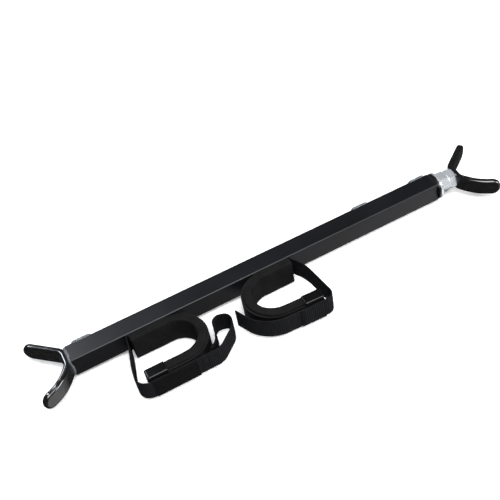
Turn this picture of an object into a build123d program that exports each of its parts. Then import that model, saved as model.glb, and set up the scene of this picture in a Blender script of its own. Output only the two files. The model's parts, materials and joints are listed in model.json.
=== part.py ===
"""Adjustable cargo bar: a steel channel with a fixed fork at one end, a screw-jacked fork at
the other, and two foam-lined cradles with straps on its web.

Frame, in millimetres: +X runs along the bar from the fixed fork to the jacked fork, +Z is up,
and -Y is the side that the cradles stand on. The origin is the middle of the fixed fork's
throat, on the bar's axis.
"""

from build123d import *
from math import cos, radians, sin, tan
import os

# ---------------------------------------------------------------- driving dimensions
INCH = 25.4

CHANNEL = 1.0 * INCH           # outside width and height of the channel
WALL = INCH / 8                # its wall
CHANNEL_LENGTH = 487.0
CHANNEL_CORNER = 1.6           # outside corner radius of the rolled section

INSERT = CHANNEL - 2 * WALL    # square bar and square tube that fit between the flanges
LEFT_INSERT_LENGTH = 32.0
TUBE_BORE = 16.0               # square hole of the sliding tube
TUBE_LENGTH = 113.0

SCREW_RADIUS = 5 / 16 * INCH   # 5/8-11 thread, major radius
SCREW_LENGTH = 8.0 * INCH      # under the head
HEX_FLATS = 15 / 16 * INCH     # across flats, nut and bolt head
HEAD_HEIGHT = 25 / 64 * INCH
NUT_HEIGHT = 35 / 64 * INCH
HEAD_TURN = 12.0               # degrees that the bolt head stands turned from the nut
RUNNING = 0.06                 # radial running clearance on the screw

DISC_RADIUS = 16.5
DISC_THICKNESS = 3.0
DISC_BORE = 8.4
WASHER_RADIUS = 21 / 32 * INCH
WASHER_THICKNESS = 2.6
WASHER_BORE = 8.3

FORK_HEIGHT = 0.75 * INCH      # flat bar of the forks
FORK_THICKNESS = 0.25 * INCH
COATING = 0.8                  # vinyl dip over the flat bar
THROAT_HALF = 10.85            # corner of the centreline, from the axis
FORK_BEND = 14.0               # centreline radius of the two bends beside the throat
STRAIGHT_TIP = (32.4, 46.0)    # tip of the straight arm, ahead of the throat and off the axis
CURVED_SHOULDER = (10.9, 31.3)  # corner that the curved arm rounds, likewise
CURVED_TIP = (34.5, 42.8)
CURVED_RADIUS = 58.0
CORE_EDGE = 2.2                # rounded long edges of the flat bar
DIP_EDGE = CORE_EDGE + COATING
FORK_SKEW = 7.7                # degrees that the jacked fork is welded off square
STITCH = 24.0                  # length and leg of the beads between inserts and flanges
STITCH_LEG = 3.0
LEFT_WELD = 1.5                # weld metal between fork and bar end
RIGHT_WELD = 1.2               # weld metal between fork and bolt head

FOAM_WIDTH = 1.25 * INCH
FOAM_THICKNESS = 10.5
STRIP_WIDTH = 1.0 * INCH
STRIP_THICKNESS = 2.0
STRAP_WIDTH = 1.0 * INCH
STRAP_THICKNESS = 1.8
STRAP_SLACK = 0.2              # room for the webbing between the strip and the web
CAP_LENGTH = 22.0              # vinyl cap on the tip of a free arm
CAP_WALL = 0.9

SCREW_M5 = 2.5                 # cradle screws, radius
SCREW_HOLE = 2.7
BUTTON_RADIUS = 4.75
BUTTON_HEIGHT = 2.75
LOCKNUT_FLATS = 8.0
LOCKNUT_HEIGHT = 5.0

# ---------------------------------------------------------------- places along the bar
FORK_COATED = FORK_THICKNESS + 2 * COATING
BAR_LEFT = COATING + FORK_THICKNESS + LEFT_WELD
BAR_RIGHT = BAR_LEFT + CHANNEL_LENGTH
DISC_FACE = BAR_RIGHT + DISC_THICKNESS
WASHER_FACE = DISC_FACE + WASHER_THICKNESS
NUT_FACE = WASHER_FACE + NUT_HEIGHT
HEAD_FACE = NUT_FACE + HEAD_HEIGHT
RIGHT_CORE = HEAD_FACE + RIGHT_WELD
RIGHT_THROAT = RIGHT_CORE + FORK_THICKNESS + COATING
WEB_FACE = -CHANNEL / 2        # y of the web's outside, where the cradles are bolted
STRIP_FACE = WEB_FACE - STRAP_THICKNESS - STRAP_SLACK
SCREW_STATIONS = (14.0, 33.0)  # cradle screws, from the open end of the inner arm


def at(x, y, z=0.0):
    """A place in the bar's frame."""
    return Pos(x, y, z)


def along_x(x, y=0.0, z=0.0):
    """A plane square to the bar, so that an extrusion runs towards +X."""
    return Plane(origin=(x, y, z), x_dir=(0, 1, 0), z_dir=(1, 0, 0))


def band(path, thickness, width):
    """A flat band that follows a path in the XY plane, its width upright."""
    start = path @ 0
    section = Plane(origin=start, x_dir=(0, 0, 1), z_dir=path % 0) * Rectangle(width, thickness)
    return sweep(section, path=path)


# ---------------------------------------------------------------- bar
def channel():
    outline = Rectangle(CHANNEL, CHANNEL)
    outline = fillet(outline.vertices(), CHANNEL_CORNER)
    # the hollow runs from the web's inside to beyond the open side
    hollow = Pos(WALL, 0) * Rectangle(CHANNEL, INSERT)
    body = extrude(along_x(BAR_LEFT) * (outline - hollow), CHANNEL_LENGTH)
    for side in ("left", "right"):
        for x, _ in cradle_screw_places(side):
            body -= at(x, WEB_FACE + WALL / 2) * Rot(90, 0, 0) * Cylinder(SCREW_HOLE, 2 * WALL)
    return body


def left_insert():
    return extrude(along_x(BAR_LEFT) * Rectangle(INSERT, INSERT), LEFT_INSERT_LENGTH)


def sliding_tube():
    ring = Rectangle(INSERT, INSERT) - Rectangle(TUBE_BORE, TUBE_BORE)
    return extrude(along_x(BAR_RIGHT - TUBE_LENGTH) * ring, TUBE_LENGTH)


def end_disc():
    ring = Circle(DISC_RADIUS) - Circle(DISC_BORE)
    return extrude(along_x(BAR_RIGHT) * ring, DISC_THICKNESS)


def stitch_welds():
    """Fillets in the corners between the inserts and the flanges' inner faces."""
    corner = Polyline((0, 0), (STITCH_LEG, 0), (0, -STITCH_LEG), close=True)
    ends = (BAR_LEFT + LEFT_INSERT_LENGTH - STITCH, BAR_RIGHT - TUBE_LENGTH + 2,
            BAR_RIGHT - STITCH - 3)
    beads = []
    for x in ends:
        bead = extrude(along_x(x, INSERT / 2, INSERT / 2) * make_face(corner), STITCH)
        beads += [bead, mirror(bead, Plane.XY)]
    return Compound(beads)


# ---------------------------------------------------------------- forks
def fork_path():
    """Centreline of the flat bar: the arms open towards -X, the straight one at +Y and the
    curved one at -Y, and the throat's face is at x = 0."""
    middle = FORK_COATED / 2
    corners = [(-STRAIGHT_TIP[0], STRAIGHT_TIP[1]), (middle, THROAT_HALF), (middle, -THROAT_HALF),
               (-CURVED_SHOULDER[0], -CURVED_SHOULDER[1]), (-CURVED_TIP[0], -CURVED_TIP[1])]
    return FilletPolyline(*corners, radius=[FORK_BEND, FORK_BEND, CURVED_RADIUS])


def rounded_fork(thickness, height, overrun, edge_round):
    """The bent flat bar with full-round tips."""
    path = fork_path()
    body = band(path, thickness, height)
    if overrun:
        for end, sense in ((0, -1), (1, 1)):
            tangent = path % end
            plane = Plane(origin=path @ end, x_dir=(0, 0, 1), z_dir=tangent * sense)
            body += extrude(plane * Rectangle(height, thickness), overrun)
    tips = [e for e in body.edges()
            if abs(abs(e.center().Z) - height / 2) < 1e-3 and abs(e.length - thickness) < 1e-3]
    body = fillet(tips, height / 2 - 0.05)
    if edge_round:
        long_edges = [e for e in body.edges() if e.length > 6 and abs(e.center().Z) > 1]
        body = fillet(long_edges, edge_round)
    return body


def fork_core():
    return rounded_fork(FORK_THICKNESS, FORK_HEIGHT, 0, CORE_EDGE)


def fork_dip():
    """The outside of the vinyl, solid."""
    return rounded_fork(FORK_COATED, FORK_HEIGHT + 2 * COATING, COATING, DIP_EDGE)


def left_weld():
    """Bead between the fork's back and the bar's end, wider on the bar."""
    fork_side = along_x(BAR_LEFT - LEFT_WELD) * Rectangle(15, FORK_HEIGHT - 1)
    bar_side = along_x(BAR_LEFT) * Rectangle(CHANNEL - 3, CHANNEL - 2)
    return loft([fork_side, bar_side])


def right_weld():
    """Bead between the bolt head and the skewed fork, wider on the head."""
    past = 1.3
    bead = loft([along_x(HEAD_FACE) * Circle(HEX_FLATS / 2 - 0.8),
                 along_x(RIGHT_CORE + past) * Circle(FORK_HEIGHT / 2 - 1.5)])
    return bead - to_right(fork_core())


def to_right(body):
    """Turns a fork over, about Y, and sets it on the bolt head, a little off square: its
    curved arm stays at -Y."""
    seat = Pos(RIGHT_CORE, 0, 0) * Rot(0, 0, -FORK_SKEW)
    return seat * Pos(RIGHT_THROAT - RIGHT_CORE, 0, 0) * Rot(0, 180, 0) * body


# ---------------------------------------------------------------- jack
def hexagon(height, x, turn=0.0):
    outline = Rot(0, 0, turn) * RegularPolygon(HEX_FLATS / 2, 6, major_radius=False)
    body = extrude(along_x(x) * outline, height)
    # the corners are turned off to a 30 degree chamfer
    reach = HEX_FLATS / 2 / cos(radians(30))
    dome = Solid.make_cone(reach + height / tan(radians(30)), reach - 0.7, height, along_x(x))
    return body & dome


def flat_washer():
    ring = Circle(WASHER_RADIUS) - Circle(WASHER_BORE)
    return extrude(along_x(DISC_FACE) * ring, WASHER_THICKNESS)


def jack_nut():
    bore = extrude(along_x(WASHER_FACE - 1) * Circle(SCREW_RADIUS + RUNNING), NUT_HEIGHT + 2)
    return hexagon(NUT_HEIGHT, WASHER_FACE) - bore


def jack_bolt():
    shank = extrude(along_x(NUT_FACE - SCREW_LENGTH) * Circle(SCREW_RADIUS), SCREW_LENGTH)
    shank = chamfer(shank.edges().group_by(Axis.X)[0], 1.2)
    return shank + hexagon(HEAD_HEIGHT, NUT_FACE, HEAD_TURN)


# ---------------------------------------------------------------- cradles
# Each cradle is a U that lies in the XY plane with its inner arm flat on the web. hand is the
# way its bend points: +1 towards +X. The left cradle opens to the left, the right one to the
# right.
CRADLES = {
    "left": dict(hand=1, mouth=BAR_LEFT + 67.0, bend=BAR_LEFT + 145.5, radius=34.0, splay=0.0),
    "right": dict(hand=-1, mouth=BAR_LEFT + 271.0, bend=BAR_LEFT + 196.5, radius=36.0, splay=2.5),
}
FREE_OVERHANG = 3.0            # the free arm is this much longer than the inner arm


def cradle_screw_places(side):
    c = CRADLES[side]
    return [(c["mouth"] + c["hand"] * s, STRIP_FACE) for s in SCREW_STATIONS]


def foam_face(side):
    """y of the foam's outer face on the inner arm, which lies on the strip."""
    return STRIP_FACE - STRIP_THICKNESS


def u_path(side, outward):
    """The U at a distance outward from the foam's outer face, from its inner arm's open end."""
    c = CRADLES[side]
    hand, splay = c["hand"], radians(c["splay"])
    radius = c["radius"] + outward
    centre = Vector(c["bend"] - hand * c["radius"], foam_face(side) - c["radius"])
    begin = Vector(c["mouth"], centre.Y + radius)
    turn_in = Vector(centre.X, centre.Y + radius)
    across = Vector(hand * sin(splay), -cos(splay))
    turn_out = centre + across * radius
    heading = Vector(-hand * cos(splay), -sin(splay))
    tip_x = c["mouth"] - hand * FREE_OVERHANG
    run = abs(tip_x - centre.X - hand * c["radius"] * sin(splay)) / cos(splay)
    middle = centre + Vector(hand * radius * cos(splay / 2), radius * sin(splay / 2))
    arm_in = Line(begin, turn_in)
    bend = ThreePointArc(turn_in, middle, turn_out)
    arm_out = Line(turn_out, turn_out + heading * run)
    return Wire([arm_in.edge(), bend.edge(), arm_out.edge()])


def cradle_strip(side):
    body = band(u_path(side, STRIP_THICKNESS / 2), STRIP_THICKNESS, STRIP_WIDTH)
    for x, y in cradle_screw_places(side):
        body -= at(x, y) * Rot(90, 0, 0) * Cylinder(SCREW_HOLE, 3 * STRIP_THICKNESS)
    return body


def foam_lining(side):
    body = band(u_path(side, -FOAM_THICKNESS / 2), FOAM_THICKNESS, FOAM_WIDTH)
    for x, _ in cradle_screw_places(side):
        pocket = Cylinder(BUTTON_RADIUS + 0.5, 2 * (BUTTON_HEIGHT + 0.5))
        body -= at(x, foam_face(side)) * Rot(90, 0, 0) * pocket
    return body


def tip_frame(side):
    """A place at the free arm's tip, its X along the arm away from the bend, Y across it."""
    path = u_path(side, 0)
    return path @ 1, path % 1


def tip_cap(side):
    """A closed sleeve over the foam and the strip at the free arm's tip."""
    tip, heading = tip_frame(side)
    depth = FOAM_THICKNESS + STRIP_THICKNESS
    hand = CRADLES[side]["hand"]
    plane = Plane(origin=tip, x_dir=(0, 0, 1), z_dir=heading)
    # in this plane, y runs across the arm: towards -Y of the bar on the left, +Y on the right
    shift = hand * (FOAM_THICKNESS - STRIP_THICKNESS) / 2
    outer = Pos(0, shift) * Rectangle(FOAM_WIDTH + 2 * CAP_WALL, depth + 2 * CAP_WALL)
    outer = fillet(outer.vertices(), 1.2)
    body = extrude(plane.offset(-CAP_LENGTH) * outer, CAP_LENGTH + CAP_WALL)
    inner = Pos(0, shift) * Rectangle(FOAM_WIDTH, depth)
    return body - extrude(plane.offset(-CAP_LENGTH) * inner, CAP_LENGTH)


def cradle_screws(side):
    grip = STRIP_THICKNESS + STRAP_THICKNESS + STRAP_SLACK + WALL
    solids = []
    for x, y in cradle_screw_places(side):
        seat = foam_face(side)
        shank = Plane(origin=(x, seat, 0), x_dir=(1, 0, 0), z_dir=(0, 1, 0))
        head = Plane(origin=(x, seat, 0), x_dir=(1, 0, 0), z_dir=(0, -1, 0))
        body = extrude(shank * Circle(SCREW_M5), grip + LOCKNUT_HEIGHT + 1.0)
        button = extrude(head * Circle(BUTTON_RADIUS), BUTTON_HEIGHT)
        button = fillet(button.edges().group_by(Axis.Y)[0], 1.8)
        top = Plane(origin=(x, seat - BUTTON_HEIGHT, 0), x_dir=(1, 0, 0), z_dir=(0, 1, 0))
        button -= extrude(top * RegularPolygon(1.5, 6, major_radius=False), 1.5)
        solids.append(body + button)
    return Compound(solids)


def locknuts(side):
    solids = []
    for x, _ in cradle_screw_places(side):
        plane = Plane(origin=(x, WEB_FACE + WALL, 0), x_dir=(1, 0, 0), z_dir=(0, 1, 0))
        ring = RegularPolygon(LOCKNUT_FLATS / 2, 6, major_radius=False) - Circle(SCREW_M5)
        solids.append(extrude(plane * ring, LOCKNUT_HEIGHT))
    return Compound(solids)


# ---------------------------------------------------------------- straps
# The webbing is clamped between the cradle's strip and the web. From the mouth it crosses to
# the free arm's tip, turns round it, and runs back along the outside of the arm. Its moving
# part starts at the hinge, beside the strip's end.
def strap_anchor(side):
    c = CRADLES[side]
    start = c["mouth"] + c["hand"] * 1.0
    stop = c["mouth"] + c["hand"] * 46.0
    y = WEB_FACE - (STRAP_THICKNESS + STRAP_SLACK) / 2
    body = at((start + stop) / 2, y) * Box(abs(stop - start), STRAP_THICKNESS, STRAP_WIDTH)
    for x, _ in cradle_screw_places(side):
        body -= at(x, y) * Rot(90, 0, 0) * Cylinder(SCREW_HOLE, 2 * STRAP_THICKNESS)
    return body


# corners of each strap's centreline: x from the bar's left end, y from the web's face, and the
# bend radius at the corner
STRAP_LEG = -76.4              # y of the left strap's straight leg, outside the free arm
STRAP_ROUTES = {
    "left": [(64.6, -3.2, 0), (61.4, -20.0, 60), (54.5, -46.0, 40), (49.5, STRAP_LEG, 13),
             (131.0, STRAP_LEG, 0)],
    "right": [(273.4, -3.2, 0), (283.0, -22.0, 60), (287.3, -82.8, 10), (214.0, -79.8, 40),
              (193.5, -64.5, 40), (183.3, -38.5, 0)],
}
LOOP_ROUTE = [(131.0, STRAP_LEG, 0), (147.0, STRAP_LEG, 22), (171.0, -56.0, 14),
              (178.0, -38.0, 9.5), (156.0, -30.0, 9.5), (152.5, -50.0, 16),
              (147.0, -64.0, 12), (138.0, -71.5, 0)]
PATCH_THICKNESS = 1.1          # layer sewn on the outside: tape on the left, webbing on the right
PATCH_STATIONS = {"left": (67.0, 118.5), "right": (243.0, 273.0)}


def route(points):
    """A smooth centreline through corners that are rounded by their own radii."""
    places = [Vector(x + BAR_LEFT, y + WEB_FACE) for x, y, _ in points]
    radii = [r for _, _, r in points[1:-1]]
    return FilletPolyline(*places, radius=radii)


def strap(side):
    return band(route(STRAP_ROUTES[side]), STRAP_THICKNESS, STRAP_WIDTH)


def strap_patch(side):
    """Sewn layer on the outside of the strap's straight leg, between two stations."""
    turns = [Vector(x + BAR_LEFT, y + WEB_FACE) for x, y, _ in STRAP_ROUTES[side]]
    first, last = (turns[-2], turns[-1]) if side == "left" else (turns[2], turns[3])
    slope = (last.Y - first.Y) / (last.X - first.X)
    begin, end = (Vector(x + BAR_LEFT, first.Y + slope * (x + BAR_LEFT - first.X))
                  for x in PATCH_STATIONS[side])
    outward = Vector(slope, -1).normalized() * (STRAP_THICKNESS + PATCH_THICKNESS) / 2
    return band(Line(begin + outward, end + outward), PATCH_THICKNESS, STRAP_WIDTH)


def pull_loop():
    return band(route(LOOP_ROUTE), STRAP_THICKNESS, STRAP_WIDTH)


# ---------------------------------------------------------------- export
def build():
    core = fork_core()
    dip = fork_dip()
    nodes = {
        "channel": channel(),
        "left_insert": left_insert(),
        "sliding_tube": sliding_tube(),
        "end_disc": end_disc(),
        "stitch_welds": stitch_welds(),
        "left_fork_core": core,
        "left_fork_weld": left_weld(),
        "flat_washer": flat_washer(),
        "jack_nut": jack_nut(),
        "jack_bolt": jack_bolt(),
        "right_fork_core": to_right(core),
        "right_fork_weld": right_weld(),
    }
    for side, outside in (("left", dip), ("right", to_right(dip))):
        nodes[f"{side}_fork_coating"] = (outside - nodes[f"{side}_fork_core"]
                                         - nodes[f"{side}_fork_weld"] - nodes["jack_bolt"])
        nodes[f"{side}_cradle_strip"] = cradle_strip(side)
        nodes[f"{side}_foam_lining"] = foam_lining(side)
        nodes[f"{side}_tip_cap"] = tip_cap(side)
        nodes[f"{side}_cradle_screws"] = cradle_screws(side)
        nodes[f"{side}_cradle_locknuts"] = locknuts(side)
        nodes[f"{side}_strap_anchor"] = strap_anchor(side)
        nodes[f"{side}_strap"] = strap(side)
        nodes[f"{side}_strap_patch"] = strap_patch(side)
    nodes["left_pull_loop"] = pull_loop()
    return nodes


os.makedirs("parts", exist_ok=True)
for name, shape in build().items():
    export_step(shape, f"parts/{name}.step")
    box = shape.bounding_box()
    print(f"{name:24s} x {box.min.X:7.1f} {box.max.X:7.1f}  y {box.min.Y:7.1f} {box.max.Y:7.1f}"
          f"  z {box.min.Z:6.1f} {box.max.Z:6.1f}")
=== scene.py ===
# %% [markdown]
# # A cargo bar with two strapped cradles
#
# The real object is a short steel bar that is jacked between two rails of a truck bed or a
# trailer. A vinyl-dipped fork sits at each end. A long bolt and a nut push the right fork out.
# Two foam-lined cradles on the front face hold long gear, and a webbing strap closes each one.
#
# The steel parts come from an exact model, which is loaded here as a fixed frame. What this
# notebook adds is everything that makes them look real: webbing with its ribs and stitches,
# foam, glossy caps, weld beads, a true thread, and a finish for every surface.

import json
from math import radians, tan

import bpy
import numpy as np
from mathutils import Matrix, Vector


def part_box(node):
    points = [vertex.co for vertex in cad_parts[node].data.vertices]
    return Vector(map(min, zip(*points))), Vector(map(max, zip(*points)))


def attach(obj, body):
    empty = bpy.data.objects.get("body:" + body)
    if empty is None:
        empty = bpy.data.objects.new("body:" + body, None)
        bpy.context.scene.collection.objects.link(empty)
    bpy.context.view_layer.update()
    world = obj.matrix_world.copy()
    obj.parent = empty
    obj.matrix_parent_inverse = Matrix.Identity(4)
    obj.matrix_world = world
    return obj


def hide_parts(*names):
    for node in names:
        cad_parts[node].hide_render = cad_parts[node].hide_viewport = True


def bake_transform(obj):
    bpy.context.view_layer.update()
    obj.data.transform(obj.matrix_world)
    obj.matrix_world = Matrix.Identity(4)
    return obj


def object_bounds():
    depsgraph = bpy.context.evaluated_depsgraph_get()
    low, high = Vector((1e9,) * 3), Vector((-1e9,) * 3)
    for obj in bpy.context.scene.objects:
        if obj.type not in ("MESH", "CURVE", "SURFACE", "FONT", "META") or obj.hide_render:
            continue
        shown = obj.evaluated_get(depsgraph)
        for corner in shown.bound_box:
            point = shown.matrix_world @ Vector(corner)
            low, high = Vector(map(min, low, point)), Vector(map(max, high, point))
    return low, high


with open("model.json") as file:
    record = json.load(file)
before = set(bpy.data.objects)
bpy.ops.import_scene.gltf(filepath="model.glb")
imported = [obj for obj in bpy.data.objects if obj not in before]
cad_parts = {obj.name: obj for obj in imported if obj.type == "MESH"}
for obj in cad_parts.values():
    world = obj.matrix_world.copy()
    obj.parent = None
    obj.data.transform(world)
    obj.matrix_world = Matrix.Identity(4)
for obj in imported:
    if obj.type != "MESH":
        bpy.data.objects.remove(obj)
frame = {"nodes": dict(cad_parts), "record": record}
nodes = frame["nodes"]
cad_box = [list(corner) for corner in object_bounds()]
print("parts in the frame:", len(nodes), "box:", cad_box)

# %% [markdown]
# ## Places that the new pieces share
#
# All lengths below are in millimetres, as a maker would write them, and become metres only
# when a mesh is made. The bar's end and its front face are read from the frame, so the new
# pieces stand where the steel is.

# %% Read the shared places from the frame
MM = 0.001


def millimetres(node):
    """Lowest and highest corner of a frame node, in millimetres."""
    low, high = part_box(node)
    return np.array(low) / MM, np.array(high) / MM


channel_low, channel_high = millimetres("channel")
BAR_LEFT, BAR_RIGHT = channel_low[0], channel_high[0]
WEB_FACE = channel_low[1]
HALF_BAR = channel_high[2]
WEBBING_WIDTH = 25.4
WEBBING_THICKNESS = 1.8
STRIP_THICKNESS = 2.0
STRAP_SLACK = 0.2
FOAM_FACE = WEB_FACE - WEBBING_THICKNESS - STRAP_SLACK - STRIP_THICKNESS
print("bar from", round(BAR_LEFT, 2), "to", round(BAR_RIGHT, 2), "front face", round(WEB_FACE, 2))

# %% [markdown]
# ## From arrays to a mesh
#
# Every new piece is a grid of points: rows run along the piece and columns run round it. The
# faces follow from the row and column numbers alone, so they are worked out once for all
# shapes. A fan of triangles closes each open end. If the enclosed volume comes out negative,
# the faces point inwards and are all turned over.

# %% Helpers that turn a grid into a closed mesh
SHARP = radians(32)


def grid_faces(rows, columns, closed_rows):
    """Quads between neighbours of a grid whose columns run round in a ring."""
    i = np.arange(rows if closed_rows else rows - 1)[:, None]
    j = np.arange(columns)[None, :]
    following = (j + 1) % columns
    above = (i + 1) % rows
    quads = (i * columns + j, i * columns + following,
             above * columns + following, above * columns + j)
    return np.stack(np.broadcast_arrays(*quads), axis=-1).reshape(-1, 4)


def fan(ring, pole):
    """Triangles from a pole to each side of a ring of point numbers."""
    return np.stack([ring, np.roll(ring, 1), np.full_like(ring, pole)], axis=-1)


def enclosed(points, triangles):
    """Signed volume: a sixth of the triple product of each triangle's corners, added up."""
    a, b, c = (points[triangles[:, k]] for k in range(3))
    return float((a * np.cross(b, c)).sum() / 6)


def closed_grid(points, closed_rows):
    """Points (rows, columns, 3) as a flat list with faces that enclose a volume."""
    rows, columns = points.shape[:2]
    flat = points.reshape(-1, 3)
    quads = grid_faces(rows, columns, closed_rows)
    triangles = np.empty((0, 3), int)
    if not closed_rows:
        flat = np.vstack([flat, points[0].mean(0), points[-1].mean(0)])
        first = np.arange(columns)
        last = first + (rows - 1) * columns
        triangles = np.vstack([fan(first, rows * columns),
                               fan(last, rows * columns + 1)[:, ::-1]])
    split = np.vstack([quads[:, [0, 1, 2]], quads[:, [0, 2, 3]], triangles])
    if enclosed(flat, split) < 0:
        quads, triangles = quads[:, ::-1], triangles[:, ::-1]
    return flat, quads, triangles


def piece(name, grids, finish, uv=None, sharp=SHARP):
    """One mesh object from (points, closed_rows) grids in millimetres, with its finish and,
    if it has one, its UV map. Edges that turn by more than sharp stay crisp."""
    points, faces, start = [], [], 0
    for grid, closed_rows in grids:
        flat, quads, triangles = closed_grid(grid, closed_rows)
        points.append(flat)
        faces += (quads + start).tolist() + (triangles + start).tolist()
        start += len(flat)
    points = np.vstack(points)
    mesh = bpy.data.meshes.new(name)
    mesh.from_pydata((points * MM).tolist(), [], faces)
    mesh.polygons.foreach_set("use_smooth", np.ones(len(faces), bool))
    mesh.set_sharp_from_angle(angle=sharp)
    if uv is not None:
        corners = np.empty(len(mesh.loops), np.int32)
        mesh.loops.foreach_get("vertex_index", corners)
        layer = mesh.uv_layers.new(name="lay")
        layer.data.foreach_set("uv", (uv[corners] * MM).astype(np.float32).ravel())
    mesh.materials.append(finish)
    made = bpy.data.objects.new(name, mesh)
    bpy.context.scene.collection.objects.link(made)
    print(name, "points", len(points), "faces", len(faces))
    return made


# %% [markdown]
# ## Lines in the bar's plane
#
# Straps and cradles are all flat bands that stand upright and follow a line in the XY plane.
# A maker draws such a line as corners with a bend radius each. The function below does the
# same, and then walks the line in even steps, because ribs and stitches need even spacing.

# %% Helpers that draw and walk a line
ARC_POINTS = 24


def evenly(line, step):
    """The same line as points about step apart, measured along it."""
    along = np.concatenate([[0], np.cumsum(np.hypot(*np.diff(line, axis=0).T))])
    count = int(np.ceil(along[-1] / step)) + 1
    wanted = np.linspace(0, along[-1], count)
    return np.column_stack([np.interp(wanted, along, line[:, k]) for k in range(2)])


def rounded_line(corners):
    """Straight runs through (x, y, radius) corners, each corner replaced by the arc that
    touches both runs: it starts radius * tan(half the turn) before the corner."""
    corners = np.array(corners, float)
    parts = [corners[:1, :2]]
    for before, here, after in zip(corners[:-2], corners[1:-1], corners[2:]):
        into = (here - before)[:2] / np.hypot(*(here - before)[:2])
        out = (after - here)[:2] / np.hypot(*(after - here)[:2])
        turn = np.arctan2(into[0] * out[1] - into[1] * out[0], into @ out)
        start = here[:2] - into * here[2] * tan(abs(turn) / 2)
        side = np.sign(turn) * np.array([-into[1], into[0]])
        swept = np.linspace(0, abs(turn), ARC_POINTS)[:, None]
        parts.append(start + here[2] * (into * np.sin(swept) + side * (1 - np.cos(swept))))
    return np.vstack(parts + [corners[-1:, :2]])


def frame_of(line):
    """Distance along the line and its normal, which is the heading turned left."""
    heading = np.gradient(line, axis=0)
    heading /= np.hypot(*heading.T)[:, None]
    along = np.concatenate([[0], np.cumsum(np.hypot(*np.diff(line, axis=0).T))])
    return along, np.column_stack([-heading[:, 1], heading[:, 0]])


print("each bend is drawn with", ARC_POINTS, "points")

# %% [markdown]
# ## A band with rounded edges
#
# Webbing, foam, tape and caps share one section: a rectangle with rounded corners. Each point
# of the section is a place on a smaller, sharp rectangle plus a step of the corner radius in
# a direction. Written so, one ring of numbers serves every size, a row near an end can shrink
# to round the end off, and relief such as ribs is one more step in the same direction.

# %% The section and its sweep
LEAST_HALF = 0.05
LEAST_RADIUS = 0.04


def section_ring(per_corner, per_face, per_edge):
    """Columns (a, b, c, d): a and b place the sharp rectangle's point from -1 to 1 across and
    up, and c and d are the outward direction there."""
    ring = []
    for quarter in range(4):
        middle = quarter * 90 + 45
        spread = np.radians(np.linspace(middle - 45, middle + 45, per_corner + 1))
        sign = np.sign(np.round([np.cos(np.radians(middle)), np.sin(np.radians(middle))], 3))
        corner = np.column_stack([np.tile(sign, (len(spread), 1)), np.cos(spread), np.sin(spread)])
        ring.append(corner)
        flat = per_edge if quarter % 2 == 0 else per_face
        share = np.linspace(1, -1, flat + 2)[1:-1]
        if quarter % 2 == 0:      # along the upper or lower edge
            fixed = np.full(flat, sign[1])
            run = np.column_stack([share * sign[0], fixed, 0 * share, fixed])
        else:                     # along one of the two broad faces
            fixed = np.full(flat, sign[0])
            run = np.column_stack([fixed, share * sign[1], fixed, 0 * share])
        ring.append(run)
    return np.vstack(ring)


def band(line, thickness, width, corner, end_round, relief, ring):
    """A band that stands upright on a line: each row is the section, set square to the line.
    Within end_round of an end, the section shrinks by r - sqrt(r^2 - (r - distance)^2).
    relief(along, up, outward), if given, adds a small step outwards. Also returns (along, up)
    as UV."""
    along, normal = frame_of(line)
    reach = np.clip(end_round - np.minimum(along, along[-1] - along), 0, end_round)
    inset = end_round - np.sqrt(end_round ** 2 - reach ** 2)
    inset = np.minimum(inset, thickness / 2 - LEAST_HALF)[:, None]
    radius = np.maximum(corner - inset, LEAST_RADIUS)
    a, b, c, d = ring.T[:, None, :]
    up = b * (width / 2 - inset - radius) + radius * d
    step = 0 if relief is None else relief(along[:, None], up, c)
    across = a * (thickness / 2 - inset - radius) + (radius + step) * c
    up = up + step * d
    points = np.dstack([line[:, 0:1] + across * normal[:, 0:1],
                        line[:, 1:2] + across * normal[:, 1:2], up])
    flat = np.column_stack([np.broadcast_to(along[:, None], up.shape).ravel(), up.ravel()])
    uv = np.vstack([flat, [along[0], 0], [along[-1], 0]])
    return points, uv


print("section of a strap:", len(section_ring(4, 9, 1)), "points")

# %% [markdown]
# ## Shader sums as plain Python
#
# A finish is a small network of nodes, and most of it is arithmetic on masks. The class below
# wraps one socket, so that an expression such as `0.3 + 0.1 * noise` adds the Math nodes by
# itself. A second class adds any other node to a network: its settings go in first, then the
# values or links of its sockets. A third class is such a network for one material.

# %% The three shader classes
class Value:
    """A number that varies over the surface. Arithmetic on it adds Math nodes."""

    def __init__(self, tree, socket):
        self.tree = tree
        self.socket = socket

    def maths(self, operation, first, second):
        """A Math node on two numbers or values."""
        node = self.tree.nodes.new("ShaderNodeMath")
        node.operation = operation
        for place, given in zip(node.inputs, (first, second)):
            if isinstance(given, Value):
                self.tree.links.new(given.socket, place)
            else:
                place.default_value = given
        return Value(self.tree, node.outputs[0])

    def __add__(self, other):
        return self.maths("ADD", self, other)

    __radd__ = __add__

    def __sub__(self, other):
        return self.maths("SUBTRACT", self, other)

    def __rsub__(self, other):
        return self.maths("SUBTRACT", other, self)

    def __mul__(self, other):
        return self.maths("MULTIPLY", self, other)

    __rmul__ = __mul__


class Network:
    """A node tree, and one way to add any node to it."""

    def __init__(self, tree):
        self.tree = tree

    def node(self, kind, settings=None, sockets=None, output=0):
        """Adds a node, sets it, fills its sockets, and returns one of its outputs."""
        made = self.tree.nodes.new(kind)
        for setting, choice in (settings or {}).items():
            setattr(made, setting, choice)
        for socket, given in (sockets or {}).items():
            if isinstance(given, Value):
                self.tree.links.new(given.socket, made.inputs[socket])
            else:
                made.inputs[socket].default_value = given
        return Value(self.tree, made.outputs[output])

    def steps(self, value, low, high):
        """0 below low, 1 above high, and a straight ramp between."""
        return self.node("ShaderNodeMapRange", {"clamp": True},
                         {"Value": value, "From Min": low, "From Max": high})


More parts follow.
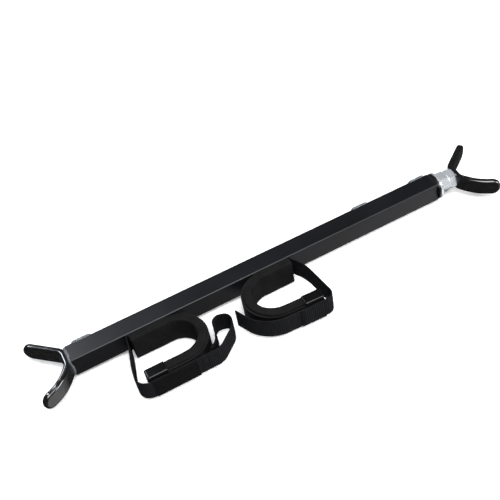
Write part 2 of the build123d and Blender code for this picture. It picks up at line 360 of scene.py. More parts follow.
class Finish(Network):
    """One material around a Principled shader."""

    def __init__(self, name, **constants):
        self.material = bpy.data.materials.new(name)
        self.material.use_nodes = True
        super().__init__(self.material.node_tree)
        self.shader = self.tree.nodes["Principled BSDF"]
        for socket, number in constants.items():
            self.shader.inputs[socket.replace("_", " ")].default_value = number

    def place(self):
        """Object coordinates, in metres."""
        return self.node("ShaderNodeTexCoord", output="Object")

    def lay(self):
        """The piece's own UV map: metres along it and across it."""
        return self.node("ShaderNodeUVMap", {"uv_map": "lay"})

    def noise(self, scale, vector, detail=2.0, rough=0.5):
        """Noise from 0 to 1, with about scale lumps to the metre."""
        return self.node("ShaderNodeTexNoise", {}, {"Vector": vector, "Scale": scale,
                                                    "Detail": detail, "Roughness": rough}, "Fac")

    def colours(self, mask, dark, light):
        """A colour between two, by a mask."""
        return self.node("ShaderNodeMix", {"data_type": "RGBA"},
                         {"Factor": mask, 6: (*dark, 1), 7: (*light, 1)}, 2)

    def wire(self, **links):
        """Values that vary over the surface, each to the shader's socket of that name."""
        for socket, value in links.items():
            self.tree.links.new(value.socket, self.shader.inputs[socket.replace("_", " ")])

    def bump(self, height, distance, strength=1.0):
        """Relief from a height of 0 to 1 that stands for distance metres."""
        self.wire(Normal=self.node("ShaderNodeBump", {}, {"Height": height, "Strength": strength,
                                                          "Distance": distance}))


print("shader classes:", Value.__name__, Network.__name__, Finish.__name__)

# %% [markdown]
# ## Black powder coat
#
# The channel, the disc and the cradle strips are powder coated. Baked powder flows into a
# skin with a faint orange peel a millimetre or two across, and the gloss drifts a little
# where the coat is thinner. Both come from noise in object coordinates: coarse noise for
# the drift, fine noise for the peel. A few pale specks are dust on the skin.

# %% Powder coat
DRIFT_SCALE = 14
DUST_SCALE = 90
PEEL_SCALE = 620
SPECK_SCALE = 1500
PEEL_DEPTH = 0.00004


def powder_coat(name, black, grey, gloss):
    """black and grey are the ends of the colour drift, and gloss is the mean roughness. The
    mask is the drift plus pale specks, which lie only where the dust noise is high."""
    coat = Finish(name, Specular_IOR_Level=0.42)
    place = coat.place()
    drift = coat.noise(DRIFT_SCALE, place, 3)
    peel = coat.noise(PEEL_SCALE, place, 2)
    speck = coat.steps(coat.noise(SPECK_SCALE, place, 1), 0.74, 0.8)
    dust = coat.steps(coat.noise(DUST_SCALE, place, 2), 0.5, 0.7)
    mask = coat.steps(drift, 0.3, 0.7) + 0.8 * speck * dust
    coat.wire(Base_Color=coat.colours(mask, black, grey),
              Roughness=gloss - 0.05 + 0.1 * drift + 0.04 * peel)
    coat.bump(peel, PEEL_DEPTH, 0.6)
    return coat.material


bar_paint = powder_coat("bar_paint", (0.0034, 0.0036, 0.0046), (0.0062, 0.0066, 0.0085), 0.34)
disc_paint = powder_coat("disc_paint", (0.0025, 0.0025, 0.0028), (0.0045, 0.0045, 0.0050), 0.30)
strip_steel = powder_coat("strip_steel", (0.0040, 0.0040, 0.0045), (0.0070, 0.0070, 0.0078),
                          0.40)
print("powder coats:", bar_paint.name, disc_paint.name, strip_steel.name)

# %% [markdown]
# ## Vinyl: the dipped forks and the pressed caps
#
# A fork is dipped hot into liquid vinyl. The skin sets glossy, with slow waves that make
# every highlight wander. The caps are pushed on and duller, with a fine moulded grain. The
# waves are coarse noise in the bump, and the roughness drifts with another noise.

# %% Vinyl
WAVE_SCALE = 75
GRAIN_SCALE = 1400
SMEAR_SCALE = 30


def vinyl_skin(name, black, grey, gloss, wave, grain, shine):
    """wave and grain are the depths, in metres, of the slow waves and the fine grain. gloss is
    the least roughness, and shine is how strongly the skin reflects."""
    skin = Finish(name, Specular_IOR_Level=shine)
    place = skin.place()
    slow = skin.noise(WAVE_SCALE, place, 1)
    fine = skin.noise(GRAIN_SCALE, place, 2)
    skin.wire(Base_Color=skin.colours(slow, black, grey),
              Roughness=gloss + 0.08 * skin.noise(SMEAR_SCALE, place, 2) + 0.03 * fine)
    skin.bump(slow + (grain / wave) * fine, wave)
    return skin.material


vinyl = vinyl_skin("vinyl", (0.0042, 0.0042, 0.0045), (0.0068, 0.0068, 0.0072),
                   gloss=0.06, wave=0.0003, grain=0.000003, shine=0.95)
cap_vinyl = vinyl_skin("cap_vinyl", (0.0028, 0.0028, 0.0030), (0.0045, 0.0045, 0.0048),
                       gloss=0.12, wave=0.0001, grain=0.000004, shine=0.3)
print("vinyl:", vinyl.name, cap_vinyl.name)

# %% [markdown]
# ## Zinc, bare steel and weld metal
#
# The bolt, nut and washer are bright zinc: a metal with a cool tint, slightly cloudy, with
# the faint lines of turning. Plating has a milky bloom, so a quarter of it answers light as
# a plain pale surface. The forks' inner bar is plain hot-rolled steel. A weld bead is
# painted over, and its crests are coloured pale grey metal as a painted highlight where the
# lumps catch the light.

# %% Metals
CLOUD_SCALE = 160
LINE_SCALE = 900.0
MILL_SCALE = 220
SPATTER_SCALE = 900


def zinc_plate():
    """The turning lines are noise squeezed six times along the bolt."""
    plate = Finish("zinc", Metallic=0.75)
    place = plate.place()
    cloud = plate.noise(CLOUD_SCALE, place, 3)
    lines = plate.node("ShaderNodeTexNoise", {}, {
        "Vector": plate.node("ShaderNodeMapping", {}, {"Vector": place, "Scale": (6, 1, 1)}),
        "Scale": LINE_SCALE, "Detail": 1.0}, "Fac")
    plate.wire(Base_Color=plate.colours(cloud, (0.84, 0.89, 0.94), (0.90, 0.94, 0.98)),
               Roughness=0.16 + 0.03 * cloud + 0.02 * lines)
    plate.bump(lines, 0.0000004)
    return plate.material


def rolled_steel():
    """Mill scale: grey that follows one noise, in colour, roughness and relief."""
    steel = Finish("core_steel", Metallic=0.9)
    scale = steel.noise(MILL_SCALE, steel.place(), 4, 0.6)
    steel.wire(Base_Color=steel.colours(scale, (0.10, 0.10, 0.11), (0.32, 0.32, 0.33)),
               Roughness=0.45 + 0.2 * scale)
    steel.bump(scale, 0.00003)
    return steel.material


def weld_metal():
    """The UV map's second number is the bead's relief in thousandths, so 1000 times it is 1 on
    a crest. Pale grey metal, a painted highlight, shows where that and half the grain add up
    to more than the ramp."""
    weld = Finish("weld", Specular_IOR_Level=0.6)
    place = weld.place()
    grain = weld.noise(SPATTER_SCALE, place, 3)
    crest = weld.node("ShaderNodeSeparateXYZ", {}, {"Vector": weld.lay()}, "Y")
    # This mask is a painted highlight: it gives the bead's crests a pale metal colour and more
    # metal.
    crest_highlight = weld.steps(1000 * crest + 0.5 * grain, 0.68, 1.35)
    weld.wire(Base_Color=weld.colours(crest_highlight, (0.006, 0.006, 0.007), (0.28, 0.30, 0.32)),
              Metallic=0.6 * crest_highlight, Roughness=0.26 + 0.14 * grain)
    weld.bump(grain, 0.00006)
    return weld.material


zinc = zinc_plate()
core_steel = rolled_steel()
weld = weld_metal()
print("metals:", zinc.name, core_steel.name, weld.name)

# %% [markdown]
# ## Foam, webbing and hook tape
#
# The foam is closed-cell sheet: dead matt, with cells a fraction of a millimetre wide that
# catch a little light. The webbing is woven from yarns: every rib is real in the mesh, and
# the shader adds the single yarns that cross it. The shader also paints shade into the
# grooves between the ribs and paints a highlight on their crests. The tape is a dense bed of
# tiny hooks, so it is darker than the webbing and has no ribs at all.

# %% Soft finishes
CELL_SCALE = 1500.0
HOOK_SCALE = 1500.0
RIB_PITCH = 2.4
WAVE_PERIOD = 0.314     # units between two bands of a wave texture of scale 1


def foam_sheet():
    """Cells from a Voronoi pattern, over larger patches of wear."""
    foam = Finish("foam", Specular_IOR_Level=0.08)
    place = foam.place()
    cells = foam.node("ShaderNodeTexVoronoi", {}, {"Vector": place, "Scale": CELL_SCALE}, "Distance")
    patch = foam.noise(60, place, 3)
    foam.wire(Base_Color=foam.colours(0.6 * patch + 0.5 * cells, (0.0012, 0.0012, 0.0013),
                                      (0.0125, 0.0125, 0.0130)),
              Roughness=0.86 + 0.1 * cells)
    foam.bump(cells + 0.8 * foam.noise(420, place, 2), 0.00025)
    return foam.material


def woven(name, dark, light, yarn_depth):
    """Two wave patterns in the UV map: one across the band for the yarns, and one along it at
    the ribs' own pitch, which is painted shade in the grooves and painted highlight on the
    crests. Fine noise is the fuzz on both."""
    cloth = Finish(name, Specular_IOR_Level=0.06)
    lay = cloth.lay()
    yarns = cloth.node("ShaderNodeTexWave", {"bands_direction": "Y"}, {
        "Vector": lay, "Scale": 380.0, "Distortion": 0.6, "Detail": 1.0, "Detail Scale": 2.0},
        "Fac")
    ribs = cloth.node("ShaderNodeTexWave", {"bands_direction": "X"}, {
        "Vector": lay, "Scale": WAVE_PERIOD / (RIB_PITCH * MM), "Distortion": 0.3}, "Fac")
    fuzz = cloth.noise(2200, lay, 2)
    # The ribs' part of the colour mask is painted shade between the ribs and painted highlight on
    # their crests; the yarns and the fuzz are the cloth's own texture.
    cloth.wire(Base_Color=cloth.colours(0.55 * ribs + 0.25 * yarns + 0.2 * fuzz, dark, light),
               Roughness=0.62 + 0.2 * fuzz)
    cloth.bump(0.5 * yarns + 0.5 * fuzz, yarn_depth)
    return cloth.material


def hook_bed():
    """Hooks from a nearly regular flat Voronoi pattern, flattened in worn patches."""
    tape = Finish("hook_tape", Specular_IOR_Level=0.08)
    lay = tape.lay()
    hooks = tape.node("ShaderNodeTexVoronoi", {"voronoi_dimensions": "2D"}, {
        "Vector": lay, "Scale": HOOK_SCALE, "Randomness": 0.35}, "Distance")
    wear = tape.noise(90, lay, 3)
    tape.wire(Base_Color=tape.colours(0.7 * hooks + 0.4 * wear, (0.0016, 0.0016, 0.0018),
                                      (0.0060, 0.0060, 0.0064)),
              Roughness=0.7 + 0.15 * wear)
    tape.bump(hooks, 0.0003, 0.7)
    return tape.material


foam = foam_sheet()
# The dark and light ends of the webbing's colour hold the painted shade in the rib grooves and the
# painted highlight on the rib crests.
webbing = woven("webbing", (0.0003, 0.0003, 0.0004), (0.0150, 0.0155, 0.0185), 0.0001)
thread = woven("thread", (0.0030, 0.0030, 0.0036), (0.0140, 0.0143, 0.0160), 0.00004)
hook_tape = hook_bed()
print("soft finishes:", foam.name, webbing.name, thread.name, hook_tape.name)

# %% [markdown]
# ## Finish the steel of the frame
#
# The frame's own parts have the right shape already, so they only get their finishes. The
# frame says which material slot each one has, and the table below turns that into a finish.

# %% Dress the frame's nodes
FINISHES = {
    "bar_paint": bar_paint, "disc_paint": disc_paint, "strip_steel": strip_steel,
    "vinyl": vinyl, "cap_vinyl": cap_vinyl, "zinc": zinc, "core_steel": core_steel,
    "weld": weld, "foam": foam, "webbing": webbing, "hook_tape": hook_tape,
}
for part in frame["record"]["subparts"]:
    steel = nodes[part["node"]]
    steel.data.materials.clear()
    steel.data.materials.append(FINISHES[part["material_slot"]])

# %% [markdown]
# ## The cradles' foam
#
# Each cradle is a U of thin steel with 10.5 mm foam on its inside. The foam is cut from sheet,
# 181 mm long on the left and 175 mm on the right before it is bent. Its long edges are only
# just rounded, and its surface is never quite flat. It is a band on the U's line, with slow
# swells from a sum of sines and softly rounded ends.

# %% Foam linings
CRADLES = {
    "left": dict(hand=1, mouth=BAR_LEFT + 67.0, bend=BAR_LEFT + 145.5, radius=34.0, splay=0.0),
    "right": dict(hand=-1, mouth=BAR_LEFT + 271.0, bend=BAR_LEFT + 196.5, radius=36.0,
                  splay=radians(2.5)),
}
FREE_OVERHANG = 3.0
FOAM_WIDTH = 31.75
FOAM_THICKNESS = 10.5
FOAM_CORNER = 1.5
FOAM_END = 1.2
FOAM_STEP = 1.2
BEND_POINTS = 60


def tip_of(side, outward):
    """The free arm's end, its heading away from the bend, and the way out of the cradle."""
    c = CRADLES[side]
    hand, splay = c["hand"], c["splay"]
    radius = c["radius"] + outward
    centre = np.array([c["bend"] - hand * c["radius"], FOAM_FACE - c["radius"]])
    out = np.array([hand * np.sin(splay), -np.cos(splay)])
    heading = np.array([-hand * np.cos(splay), -np.sin(splay)])
    run = abs(c["mouth"] - hand * FREE_OVERHANG - centre[0] - out[0] * radius) / np.cos(splay)
    return centre, out, heading, centre + out * radius + heading * run


def u_line(side, outward):
    """The U at a distance outward from the foam's outer face: an arm along the web, a bend
    through half a turn less the splay, and the free arm."""
    c = CRADLES[side]
    radius = c["radius"] + outward
    centre, _, _, tip = tip_of(side, outward)
    swept = np.linspace(0, np.pi - c["splay"], BEND_POINTS)
    bend = centre + radius * np.column_stack([c["hand"] * np.sin(swept), np.cos(swept)])
    return np.vstack([[c["mouth"], centre[1] + radius], bend, tip])


def swell(along, up, outward):
    """Slow waves of about 0.15 mm on a foam face, from sines of unrelated lengths."""
    return (0.09 * np.sin(along / 7.3 + up / 5.1) + 0.06 * np.sin(along / 3.1 - up / 4.3)) * (
        0.35 + 0.65 * np.abs(outward))


for side in CRADLES:
    line = evenly(u_line(side, -FOAM_THICKNESS / 2), FOAM_STEP)
    points, uv = band(line, FOAM_THICKNESS, FOAM_WIDTH, FOAM_CORNER, FOAM_END, swell,
                      section_ring(4, 14, 6))
    lining = piece(f"{side}_foam", [(points, False)], foam, uv)
    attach(lining, "bar")
    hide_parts(f"{side}_foam_lining")

# %% [markdown]
# ## The caps on the free arms
#
# A cap is a moulded sleeve, closed at the tip, that hides the raw ends of foam and strip.
# It is one closed surface like a thimble: up the inside wall, over the lip at the mouth,
# down the outside and round the closed tip. Fine grip ribs run across its faces.

# %% Tip caps
CAP_LENGTH = 22.0
CAP_WALL = 0.9
CAP_CORNER = 1.9
GRIP_PITCH = 1.25
GRIP_DEPTH = 0.035
GRIP_MARGIN = 1.5
BODY_ROWS = 130
INNER_RADIUS = 0.3


def cap_rows():
    """Rows from the inside of the tip, over the lip, to the outside of the tip, as
    (station from the arm's end, inset from the outer wall)."""
    turn = np.linspace(0, np.pi / 2, 7)
    half_wall = CAP_WALL / 2
    inside = np.column_stack([np.linspace(0, half_wall - CAP_LENGTH, 8), np.full(8, CAP_WALL)])
    lip_turn = np.linspace(0, np.pi, 7)[1:-1]
    lip = np.column_stack([half_wall - CAP_LENGTH - half_wall * np.sin(lip_turn),
                           half_wall + half_wall * np.cos(lip_turn)])
    body = np.linspace(half_wall - CAP_LENGTH, CAP_WALL - CAP_CORNER, BODY_ROWS)[:-1]
    outside = np.column_stack([body, np.zeros(len(body))])
    shoulder = np.column_stack([CAP_WALL - CAP_CORNER + CAP_CORNER * np.sin(turn),
                                CAP_CORNER - CAP_CORNER * np.cos(turn)])
    return np.vstack([inside, lip, outside, shoulder])


def cap_surface(side):
    """The section at each row, inset by the row's own amount, set square to the arm. A grip
    rib is a raised cosine of the station, faded out near the mouth and the tip."""
    _, out, heading, tip = tip_of(side, 0)
    rows = cap_rows()
    depth = FOAM_THICKNESS + STRIP_THICKNESS + 2 * CAP_WALL
    width = FOAM_WIDTH + 2 * CAP_WALL
    middle = tip - out * (FOAM_THICKNESS - STRIP_THICKNESS) / 2
    station, inset = rows[:, 0:1], rows[:, 1:2]
    radius = np.maximum(CAP_CORNER - inset, INNER_RADIUS)
    a, b, c, d = section_ring(6, 10, 6).T[:, None, :]
    past_mouth = np.clip(station + CAP_LENGTH - GRIP_MARGIN, 0, 1)
    ribbed = past_mouth * np.clip(-station - GRIP_MARGIN, 0, 1)
    groove = -GRIP_DEPTH * (0.5 - 0.5 * np.cos(2 * np.pi * station / GRIP_PITCH)) * ribbed
    groove = groove * (inset < 0.01)
    across = a * (depth / 2 - inset - radius) + (radius + groove) * c
    up = b * (width / 2 - inset - radius) + (radius + groove) * d
    place = middle + station * heading
    return np.dstack([place[:, 0:1] + across * out[0], place[:, 1:2] + across * out[1], up])


for side in CRADLES:
    cap = piece(f"{side}_cap", [(cap_surface(side), False)], cap_vinyl)
    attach(cap, "bar")
    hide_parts(f"{side}_tip_cap")

# %% [markdown]
# ## The straps
#
# Each strap is one length of 25.4 mm webbing. Its end is clamped under the cradle's strip by
# the two cradle screws. It leaves at the mouth, crosses to the free arm's tip, turns round
# the tip and runs back along the outside, where hook tape holds it. The ribs go across the
# band, and each one is a real ridge in the mesh. When the strap opens, the webbing bends
# beside the mouth.

# %% Strap lines and webbing
STRAP_MIDDLE = -WEBBING_THICKNESS / 2 - STRAP_SLACK / 2
STRAP_LEG = -76.4
STRAPS = {
    "left": [(113.0, STRAP_MIDDLE, 0), (65.0, STRAP_MIDDLE, 2.6), (61.4, -20.0, 60),
             (54.5, -46.0, 40), (49.5, STRAP_LEG, 13), (131.0, STRAP_LEG, 0)],
    "right": [(225.0, STRAP_MIDDLE, 0), (273.0, STRAP_MIDDLE, 2.6), (283.0, -22.0, 60),
              (287.3, -82.8, 10), (214.0, -79.8, 40), (193.5, -64.5, 40), (183.3, -38.5, 0)],
}
LOOP = [(131.0, STRAP_LEG, 0), (147.0, STRAP_LEG, 22), (171.0, -56.0, 14), (178.0, -38.0, 9.5),
        (156.0, -30.0, 9.5), (152.5, -50.0, 16), (147.0, -64.0, 12), (138.0, -71.5, 0)]
RIB_DEPTH = 0.24
RIB_ROWS = 6
WEBBING_CORNER = 0.7
WEBBING_END = 0.3


def on_bar(corners):
    """Corners measured from the bar's left end and front face, as places in the frame."""
    return [(x + BAR_LEFT, y + WEB_FACE, radius) for x, y, radius in corners]


def ribs(along, up, outward):
    """Grooves between the ribs: zero on a rib's crest, RIB_DEPTH deep between two."""
    return -RIB_DEPTH * (0.5 - 0.5 * np.cos(2 * np.pi * along / RIB_PITCH)) * np.abs(outward)


def webbing_band(name, corners):
    """Ribbed webbing along rounded corners, with RIB_ROWS rows of points to a rib."""
    line = evenly(rounded_line(on_bar(corners)), RIB_PITCH / RIB_ROWS)
    points, uv = band(line, WEBBING_THICKNESS, WEBBING_WIDTH, WEBBING_CORNER, WEBBING_END, ribs,
                      section_ring(4, 9, 1))
    return piece(name, [(points, False)], webbing, uv)


for side, corners in STRAPS.items():
    strap = webbing_band(f"{side}_webbing", corners)
    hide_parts(f"{side}_strap", f"{side}_strap_anchor")
    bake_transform(strap)

pull_loop = webbing_band("left_loop", LOOP)
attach(pull_loop, "left_strap_flap")
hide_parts("left_pull_loop")

# %% [markdown]
# ## Sewn layers
#
# A second layer is sewn on the outside of each strap: plain hook tape on the left one, and a
# doubled end of the same ribbed webbing on the right one. It could be painted on, but its edge
# catches the light, so each is a thin band of its own with softened edges.

# %% Sewn layers
PATCH_THICKNESS = 1.1
PATCH_CORNER = 0.4
PATCH_END = 0.35
PATCHES = {"left": ((49.5, STRAP_LEG), (131.0, STRAP_LEG), 67.0, 118.5),
           "right": ((287.3, -82.8), (214.0, -79.8), 243.0, 273.0)}


def leg_places(side, stations):
    """Places on the strap's outer face at stations along the bar, and the way out there."""
    (x0, y0), (x1, y1), _, _ = PATCHES[side]
    slope = (y1 - y0) / (x1 - x0)
    out = np.array([slope, -1]) / np.hypot(slope, 1)
    x = np.array(stations, float)
    centre = np.column_stack([x + BAR_LEFT, y0 + slope * (x - x0) + WEB_FACE])
    return centre + out * WEBBING_THICKNESS / 2, out


SEWN_ON = {"left": ("hook_tape", hook_tape, None), "right": ("webbing", webbing, ribs)}
for side, (_, _, begin, stop) in PATCHES.items():
    slot, finish, relief = SEWN_ON[side]
    ends, out = leg_places(side, (begin, stop))
    line = evenly(ends + out * PATCH_THICKNESS / 2, RIB_PITCH / RIB_ROWS)
    points, uv = band(line, PATCH_THICKNESS, WEBBING_WIDTH, PATCH_CORNER, PATCH_END, relief,
                      section_ring(3, 16, 1))
    layer = piece(f"{side}_layer", [(points, False)], finish, uv)
    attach(layer, f"{side}_strap_flap")
    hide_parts(f"{side}_strap_patch")

# %% [markdown]
# ## Stitches
#
# Upright rows of thread hold the sewn layers. On the left strap, two more rows hold the fold
# of the pull loop. Every stitch is a short grain of thread, half sunk in the cloth, made as one
# small ellipsoid and repeated by adding its points to the centres.

# %% Stitches
STITCH_PITCH = 2.6
STITCH_LENGTH = 1.05
STITCH_RADIUS = 0.24
STITCHES_EACH_WAY = 4
POLE_GAP = 0.25
ROW_GAP = 2.2


def stitch_grid(centres, out):
    """Ellipsoids at the centres: long upright, flat across the band. Rows run from pole to
    pole and stop just short of both, and the fans close them."""
    polar = np.linspace(POLE_GAP, np.pi - POLE_GAP, 5)[:, None]
    turn = np.linspace(0, 2 * np.pi, 8, endpoint=False)[None, :]
    heading = np.array([-out[1], out[0]])
    ring = STITCH_RADIUS * np.sin(polar)
    x = ring * (np.cos(turn) * heading[0] + np.sin(turn) * out[0])
    y = ring * (np.cos(turn) * heading[1] + np.sin(turn) * out[1])
    z = np.broadcast_to(STITCH_LENGTH * np.cos(polar), x.shape)
    return centres[:, None, None, :] + np.stack([x, y, z], axis=-1)[None]


def stitch_rows(side, stations, lift):
    """Upright rows of stitches at stations along the bar, lifted off the strap's face."""
    places, out = leg_places(side, stations)
    heights = np.arange(-STITCHES_EACH_WAY, STITCHES_EACH_WAY + 1) * STITCH_PITCH
    flat = places + out * lift
    centres = np.column_stack([np.repeat(flat, len(heights), axis=0),
                               np.tile(heights, len(flat))])
    return [(grid, False) for grid in stitch_grid(centres, out)]


sewn = {
    "left": stitch_rows("left", (68.2, 68.2 + ROW_GAP, 117.3 - ROW_GAP, 117.3), PATCH_THICKNESS)
    + stitch_rows("left", (122.5, 122.5 + ROW_GAP), 0.0),
    "right": stitch_rows("right", (244.2, 244.2 + ROW_GAP, 271.8), PATCH_THICKNESS),
}
for side, grids in sewn.items():
    count = sum(len(grid[0]) * len(grid[0][0]) + 2 for grid in grids)
    rows = piece(f"{side}_stitches", grids, thread, np.zeros((count, 2)))
    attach(rows, f"{side}_strap_flap")

# %% [markdown]
# ## The jack bolt and its nut
#
# The right fork is welded to the head of a long 5/8-11 bolt. Turning the nut pushes the bolt
# out of the tube. The thread is real here: the radius is a function of the place along the
# bolt and the angle round it, a truncated V whose phase moves by one pitch in a turn. The
# hexagons are worked out the same way, and their corners are cut by a 30 degree cone, which
# leaves the curved edges that every turned hexagon has.

# %% Bolt and nut
INCH = 25.4
THREAD_PITCH = INCH / 11
SCREW_RADIUS = 5 / 16 * INCH
THREAD_DEPTH = 0.61 * THREAD_PITCH
CREST_FLAT = 0.125
POINT_CUT = 1.8
ROWS_PER_TURN = 8
BORE_GAP = 0.06
THREAD_SHARP = radians(22)
HEX_FLATS = 15 / 16 * INCH
HEX_RIM = 0.93
HEAD_TURN = radians(12)
ROUND = 60
nut_low, nut_high = millimetres("jack_nut")
bolt_low, bolt_high = millimetres("jack_bolt")
TURNS = np.arange(ROUND) * 2 * np.pi / ROUND


def turned(radius, station, angle):
    """Points at a radius and a station along X, at angles from +Y towards +Z."""
    radius, station, angle = np.broadcast_arrays(radius, station, angle)
    return np.stack([station, radius * np.cos(angle), radius * np.sin(angle)], axis=-1)


def hex_radius(angle, turn):
    """Distance to a hexagon's side: half the flats over the cosine from the side's middle."""
    sector = np.pi / 3
    return HEX_FLATS / 2 / np.cos((angle - turn) % sector - sector / 2)


def hex_rows(low, high, turn):
    """Four rings of a hexagon between two stations: rim, chamfer, chamfer, rim. The chamfer's
    height at each angle is the radius beyond the rim times the tangent of 30 degrees."""
    out = hex_radius(TURNS, turn)
    edge = HEX_RIM * HEX_FLATS / 2
    cut = (out - edge) * tan(radians(30))
    return np.stack([turned(edge, low, TURNS), turned(out, low + cut, TURNS),
                     turned(out, high - cut, TURNS), turned(edge, high, TURNS)])


def threaded_rows(tip, head):
    """The shank: radius less the thread's depth times a truncated V of the phase, and never
    outside the 45 degree point at the tip."""
    station = np.linspace(tip, head, int((head - tip) / THREAD_PITCH * ROWS_PER_TURN))[:, None]
    phase = (station / THREAD_PITCH - TURNS[None, :] / (2 * np.pi)) % 1
    valley = np.clip((np.abs(2 * phase - 1) - CREST_FLAT) / (1 - 2 * CREST_FLAT), 0, 1)
    radius = SCREW_RADIUS - THREAD_DEPTH * valley
    point = SCREW_RADIUS - POINT_CUT + (station - tip)
    return turned(np.minimum(radius, point), station, TURNS[None, :])


bolt_rows = np.concatenate([threaded_rows(bolt_low[0], nut_high[0]),
                            hex_rows(nut_high[0], bolt_high[0], HEAD_TURN)])
bolt = piece("threaded_bolt", [(bolt_rows, False)], zinc, sharp=THREAD_SHARP)
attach(bolt, "jack_screw")
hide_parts("jack_bolt")

bore = SCREW_RADIUS + BORE_GAP
nut_rows = np.concatenate([turned(bore, nut_low[0], TURNS)[None],
                           hex_rows(nut_low[0], nut_high[0], 0.0),
                           turned(bore, nut_high[0], TURNS)[None]])
nut = piece("hex_nut", [(nut_rows, True)], zinc, sharp=THREAD_SHARP)
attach(nut, "nut")
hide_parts("jack_nut")

# %% [markdown]
# ## Weld beads
#
# A hand-laid bead is a row of overlapping puddles. Its section is round, and its radius
# swells once per puddle, a little unevenly. A bead that runs right round closes on itself,
# and a short one tapers to both ends. The relief also goes into the UV map, so that the
# finish can paint a highlight on the crests.

# %% Beads
PUDDLE = 1.9
BEAD_SIDES = 14
BEAD_WAIST = 0.82
BEAD_SWELL = 0.26
TAPER = 1.2


def bead(path, radius, closed):
    """A tube round a 3-D path. Its radius is the given one times the waist, plus the swell
    times a row of rounded puddles, plus small lumps. Open beads taper as the square root of the
    distance to the end."""
    step = np.roll(path, -1, 0) - np.roll(path, 1, 0) if closed else np.gradient(path, axis=0)
    heading = step / np.linalg.norm(step, axis=1)[:, None]
    gaps = np.linalg.norm(np.diff(path, axis=0), axis=1)
    along = np.concatenate([[0], np.cumsum(gaps)])[:, None]
    whole = along[-1, 0] + (np.linalg.norm(path[0] - path[-1]) if closed else 0)
    puddles = max(2, round(whole / PUDDLE))
    ripple = np.abs(np.sin(np.pi * puddles * along / whole)) ** 0.6
    turn = np.linspace(0, 2 * np.pi, BEAD_SIDES, endpoint=False)[None, :]
    lumps = 0.07 * np.sin(2 * np.pi * 5 * along / whole + 2 * turn) + 0.05 * np.sin(
        2 * np.pi * 11 * along / whole - turn)
    size = radius * (BEAD_WAIST + BEAD_SWELL * ripple + lumps)
    if not closed:
        end = np.minimum(along, whole - along) / (TAPER * radius)
        size = size * np.sqrt(np.clip(end, 0.02, 1))
    side = np.cross(heading, [1.0, 0.0, 0.0])
    flat = np.linalg.norm(side, axis=1)[:, None] < 0.3
    side = np.where(flat, np.cross(heading, [0.0, 0.0, 1.0]), side)
    side /= np.linalg.norm(side, axis=1)[:, None]
    other = np.cross(heading, side)
    points = path[:, None, :] + size[..., None] * (
        np.cos(turn)[..., None] * side[:, None, :] + np.sin(turn)[..., None] * other[:, None, :])
    relief = np.broadcast_to(ripple, size.shape)
    uv = np.column_stack([np.broadcast_to(along, size.shape).ravel(), relief.ravel()])
    return points, uv if closed else np.vstack([uv, np.zeros((2, 2))])


def weld_piece(name, beads, body, node):
    """Several beads as one piece that stands for a frame node."""
    grids = [(points, len(uv) == points.shape[0] * points.shape[1]) for points, uv in beads]
    made = piece(name, grids, weld, np.vstack([uv for _, uv in beads]))
    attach(made, body)
    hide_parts(node)


def square_ring(station, half, corner, count):
    """A rounded square round the bar at a station, as a closed line of points: the ray's place
    on a smaller square, plus the corner's radius in the ray's direction."""
    flat = half - corner
    turn = np.linspace(0, 2 * np.pi, count, endpoint=False)
    reach = flat / np.maximum(np.abs(np.cos(turn)), np.abs(np.sin(turn)))
    y = np.clip(reach * np.cos(turn), -flat, flat) + corner * np.cos(turn)
    z = np.clip(reach * np.sin(turn), -flat, flat) + corner * np.sin(turn)
    return np.column_stack([np.full(count, station), y, z])


LEFT_BEAD = 1.9
left_ring = square_ring(station=BAR_LEFT - 0.7, half=11.6, corner=4.0, count=160)
weld_piece("left_bead", [bead(left_ring, LEFT_BEAD, True)], "bar", "left_fork_weld")

RIGHT_BEAD = 1.5
RIGHT_RING = 9.4
right_ring = turned(RIGHT_RING, bolt_high[0] + 0.5, TURNS)
weld_piece("right_bead", [bead(right_ring, RIGHT_BEAD, True)], "jack_screw", "right_fork_weld")

insert_high = millimetres("left_insert")[1]
tube_low, tube_high = millimetres("sliding_tube")
HALF_INSERT = insert_high[2]
CORNER_BEAD = 2.5
BEAD_LENGTH = 24.0
BEAD_POINTS = 90
BEAD_OUT = HALF_BAR + 0.3
BEAD_UP = HALF_INSERT + 1.2
starts = (insert_high[0] - BEAD_LENGTH, tube_low[0] + 2, tube_high[0] - BEAD_LENGTH - 3)
corner_beads = [bead(np.linspace((x, BEAD_OUT, sign * BEAD_UP),
                                 (x + BEAD_LENGTH, BEAD_OUT, sign * BEAD_UP), BEAD_POINTS),
                     CORNER_BEAD, False)
                for x in starts for sign in (1, -1)]
weld_piece("corner_beads", corner_beads, "bar", "stitch_welds")

# %% [markdown]
# ## Floor
#
# The floor is one plain white square, far wider than the bar. Two things about it are not like
# a real floor. Glossy rays don't see it, so the front face stays as deep black as powder coat
# does where it falls between the lights. And it glows faintly, so shadows stay pale.

# %% Floor
scene = bpy.context.scene
scene.view_settings.view_transform = "Standard"
FLOOR_GAP = 0.0005
FLOOR_Z = cad_box[0][2] - FLOOR_GAP
floor_mesh = bpy.data.meshes.new("floor")
REACH = 30.0
floor_mesh.from_pydata([(-REACH, -REACH, FLOOR_Z), (REACH, -REACH, FLOOR_Z),
                        (REACH, REACH, FLOOR_Z), (-REACH, REACH, FLOOR_Z)], [], [(0, 1, 2, 3)])
floor = bpy.data.objects.new("floor", floor_mesh)
scene.collection.objects.link(floor)
paper = Finish("paper", Base_Color=(0.93, 0.93, 0.93, 1), Roughness=0.9,
               Emission_Color=(1.0, 1.0, 1.0, 1.0), Emission_Strength=0.25)
floor_mesh.materials.append(paper.material)
floor.visible_glossy = False
print("floor at", round(FLOOR_Z, 4))

# %% [markdown]
# ## Lights
#
# Three soft panels: a large one above and in front, a small cool one behind on the left that
# draws the gloss on the bar's top and on the forks, and one low on the right for the zinc.

# %% Lights
WHITE = (1.0, 1.0, 1.0)
COOL = (0.86, 0.93, 1.0)


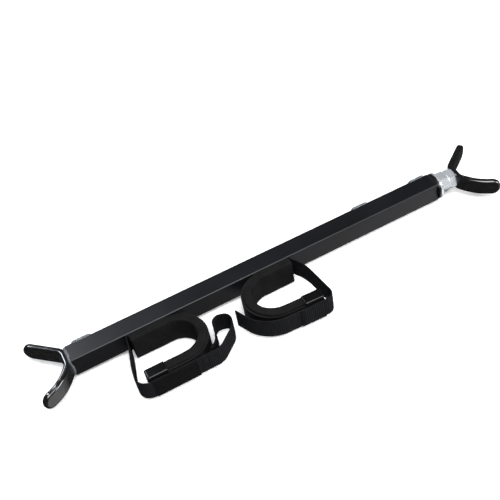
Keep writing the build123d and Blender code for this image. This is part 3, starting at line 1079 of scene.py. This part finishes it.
def soft_light(name, place, aim, size, power, tint):
    """A square area light that looks at a point. power is in watts."""
    lamp = bpy.data.lights.new(name, "AREA")
    lamp.shape = "RECTANGLE"
    lamp.size = lamp.size_y = size
    lamp.energy = power
    lamp.color = tint
    holder = bpy.data.objects.new(name, lamp)
    holder.location = place
    look = np.array(aim, float) - np.array(place, float)
    holder.rotation_euler = Vector(look).to_track_quat("-Z", "Y").to_euler()
    scene.collection.objects.link(holder)
    print(name, power, "W")


soft_light("overhead", (0.25, -0.9, 2.3), (0.25, 0.0, 0.0), 2.0, 95, WHITE)
soft_light("back_left", (-0.45, 1.4, 1.42), (0.05, 0.0, 0.0), 0.5, 15, COOL)
soft_light("front_right", (1.7, -1.0, 0.75), (0.45, 0.0, 0.0), 0.8, 26, WHITE)

# %% [markdown]
# ## A dim room with one glow
#
# The room is nearly black, so the black finishes stay black. It glows from one side, low on
# the right in front, where it stands in for a white card that lightens the right end of the
# front face. Most of it lies below the floor's level, and only reflections see that part. Its
# upper edge shows faintly along the horizon when the camera looks from low down.

# %% Room
DIM = 0.05
GLOW = 1.1
GLOW_FROM = (0.66, -0.52, -0.54)
GLOW_EDGE = 0.80
world = bpy.data.worlds.new("room")
scene.world = world
world.use_nodes = True
room = Network(world.node_tree)
looking = room.node("ShaderNodeTexCoord", output="Generated")
toward = room.node("ShaderNodeVectorMath", {"operation": "DOT_PRODUCT"},
                   {0: looking, 1: GLOW_FROM}, "Value")
strength = DIM + (GLOW - DIM) * room.steps(toward, GLOW_EDGE, 1.0)
background = world.node_tree.nodes["Background"]
background.inputs["Color"].default_value = (1, 1, 1, 1)
world.node_tree.links.new(strength.socket, background.inputs["Strength"])
print("room from", DIM, "to", GLOW)

# %% [markdown]
# ## Camera
#
# The camera looks down on the bar from in front, near its left end, so the bar runs up and
# away to the right across the picture.

# %% Camera
CAMERA_PLACE = (0.0225, -0.6318, 0.6674)
CAMERA_TURN = (46.07, 8.64, -27.37)
camera_data = bpy.data.cameras.new("camera")
camera_data.sensor_width = 36.0
camera_data.lens = 57.6
camera = bpy.data.objects.new("camera", camera_data)
camera.location = CAMERA_PLACE
camera.rotation_euler = [radians(angle) for angle in CAMERA_TURN]
scene.collection.objects.link(camera)
scene.camera = camera
print("camera at", CAMERA_PLACE)
